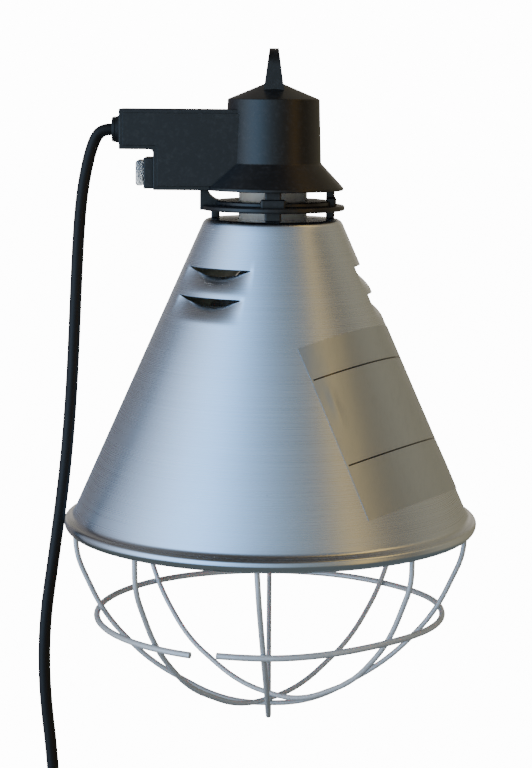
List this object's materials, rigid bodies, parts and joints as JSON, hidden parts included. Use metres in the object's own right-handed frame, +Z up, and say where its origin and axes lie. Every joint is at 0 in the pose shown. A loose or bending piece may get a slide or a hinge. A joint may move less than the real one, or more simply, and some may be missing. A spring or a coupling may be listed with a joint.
{
  "type": "heat lamp",
  "caption": "Hanging infrared heat lamp: spun cone shade with louvres, wire guard under the rim, black head with eye, rocker switch box and cord.",
  "frame": {"origin": "centre of the hole in the hanging eye, on top of the head", "axes": "+Z up along the lamp's axis; +X along the eye's hole, away from the switch box; -Y is the front"},
  "size_m": [0.2347, 0.21, 0.5044],
  "materials": {
    "black_plastic": "moulded black phenolic, satin",
    "aluminium_sheet": "spun sheet with fine lathe lines",
    "foil": "blank silver label foil",
    "plated_screw": "zinc plated",
    "zinc_wire": "bright zinc plated wire, spot welded",
    "ceramic": "off-white porcelain",
    "brass_sheet": "stamped",
    "reflector_glass": "pressed glass, silvered inside",
    "lens_glass": "pressed ruby glass",
    "stem_glass": "clear",
    "cap_metal": "nickel plated screw cap",
    "cap_glass": "black insulating glass",
    "solder": "tinned",
    "tungsten": "coiled wire",
    "rocker_plastic": "black",
    "clear_silicone": "clear, soft",
    "seal_rubber": "soft grey",
    "black_rubber": "matt black",
    "inner_plastic": "natural",
    "brown_insulation": "silicone",
    "blue_insulation": "silicone",
    "tie_band": "black",
    "pin_metal": "nickel plated"
  },
  "bodies": {
    "lamp": {"hood": "black_plastic", "box_rear_cover": "black_plastic", "vent_spacer": "black_plastic", "switch_body": "black_plastic", "shade": "aluminium_sheet", "rating_label": "foil", "cover_screws": "plated_screw", "shade_screws": "plated_screw", "lampholder_screws": "plated_screw", "cord_clamp_screws": "plated_screw", "terminal_block_screws": "plated_screw", "lampholder_body": "ceramic", "lampholder_shell": "brass_sheet", "lampholder_centre_contact": "brass_sheet", "lampholder_terminals": "brass_sheet", "switch_tabs": "brass_sheet", "half_power_diode": "rocker_plastic", "switch_splash_cap": "clear_silicone", "cover_gasket": "seal_rubber", "cord_gland": "black_rubber", "cord_inner_end": "black_rubber", "cord_hanging": "black_rubber", "cord_coil": "black_rubber", "plug_body": "black_rubber", "cord_clamp": "inner_plastic", "terminal_block": "inner_plastic", "live_core": "brown_insulation", "switch_feed_wire": "brown_insulation", "holder_live_wire": "brown_insulation", "neutral_core": "blue_insulation", "holder_neutral_wire": "blue_insulation", "coil_tie": "tie_band", "plug_pin_sleeves": "tie_band", "plug_pins": "pin_metal"},
    "rocker": {"switch_rocker": "rocker_plastic"},
    "guard": {"guard_wire_front_back": "zinc_wire", "guard_wire_left_right": "zinc_wire", "guard_wire_front_left": "zinc_wire", "guard_wire_front_right": "zinc_wire", "guard_ring": "zinc_wire"},
    "bulb": {"bulb_reflector": "reflector_glass", "bulb_lens": "lens_glass", "bulb_screw_cap": "cap_metal", "bulb_cap_insulator": "cap_glass", "bulb_cap_contact": "solder", "bulb_stem": "stem_glass", "bulb_filament": "tungsten"}
  },
  "joints": [
    {"name": "rocker_turn", "type": "hinge", "parent": "lamp", "child": "rocker", "pos_m": [-0.0618, 0, -0.0522], "axis": [0, 0, 1], "range_deg": [-18, 0]},
    {"name": "guard_unclip", "type": "slide", "parent": "lamp", "child": "guard", "axis": [0, 0, -1], "range_m": [0, 0.025]},
    {"name": "bulb_out", "type": "slide", "parent": "lamp", "child": "bulb", "axis": [0, 0, -1], "range_m": [0, 0.025]}
  ]
}
